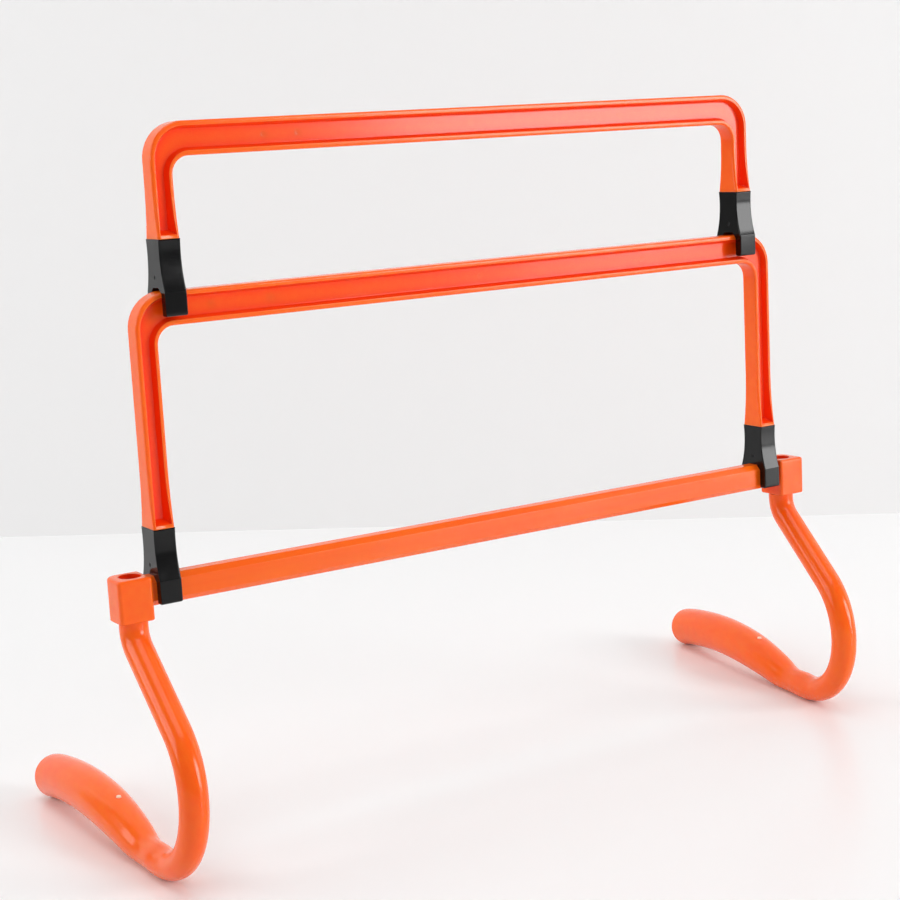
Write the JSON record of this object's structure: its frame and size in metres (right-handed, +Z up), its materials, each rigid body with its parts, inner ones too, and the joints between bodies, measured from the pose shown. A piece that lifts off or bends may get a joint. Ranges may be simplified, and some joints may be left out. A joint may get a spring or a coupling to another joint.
{
  "type": "speed hurdle",
  "caption": "Adjustable training hurdle: U-shaped frames clip one above the other onto a crossbar that stands on swivelling bent legs",
  "frame": {"origin": "on the floor, under the middle of the whole part's bounding box", "axes": "+X along the bars, +Y to the rear, the way the toes point, +Z up"},
  "size_m": [0.4776, 0.2018, 0.3661],
  "materials": {
    "orange_plastic": "moulded plastic with a soft gloss",
    "black_plastic": "moulded plastic with a satin surface",
    "steel": "plain zinc-plated steel",
    "black_steel": "blackened steel"
  },
  "bodies": {
    "base": {"crossbar": "orange_plastic", "left_block": "orange_plastic", "right_block": "orange_plastic"},
    "left_leg": {"left_leg": "orange_plastic", "left_leg_screw": "steel", "left_leg_washer": "steel"},
    "right_leg": {"right_leg": "orange_plastic", "right_leg_screw": "steel", "right_leg_washer": "steel"},
    "mid_frame": {"mid_frame": "orange_plastic", "left_lower_clip": "black_plastic", "right_lower_clip": "black_plastic", "left_lower_pin": "black_steel", "right_lower_pin": "black_steel"},
    "top_frame": {"top_frame": "orange_plastic", "left_upper_clip": "black_plastic", "right_upper_clip": "black_plastic", "left_upper_pin": "black_steel", "right_upper_pin": "black_steel"}
  },
  "joints": [
    {"name": "left_leg_swivel", "type": "hinge", "parent": "base", "child": "left_leg", "pos_m": [-0.22429, -0.03175, 0.1255], "axis": [0, 0, 1], "range_deg": [-89.7, 90.3]},
    {"name": "right_leg_swivel", "type": "hinge", "parent": "base", "child": "right_leg", "pos_m": [0.20172, -0.03175, 0.1255], "axis": [0, 0, 1], "range_deg": [-79.9, 100.1]},
    {"name": "mid_frame_lift", "type": "slide", "parent": "base", "child": "mid_frame", "axis": [0, 0, 1], "range_m": [0, 0.06]},
    {"name": "top_frame_lift", "type": "slide", "parent": "mid_frame", "child": "top_frame", "axis": [0, 0, 1], "range_m": [0, 0.06]}
  ]
}
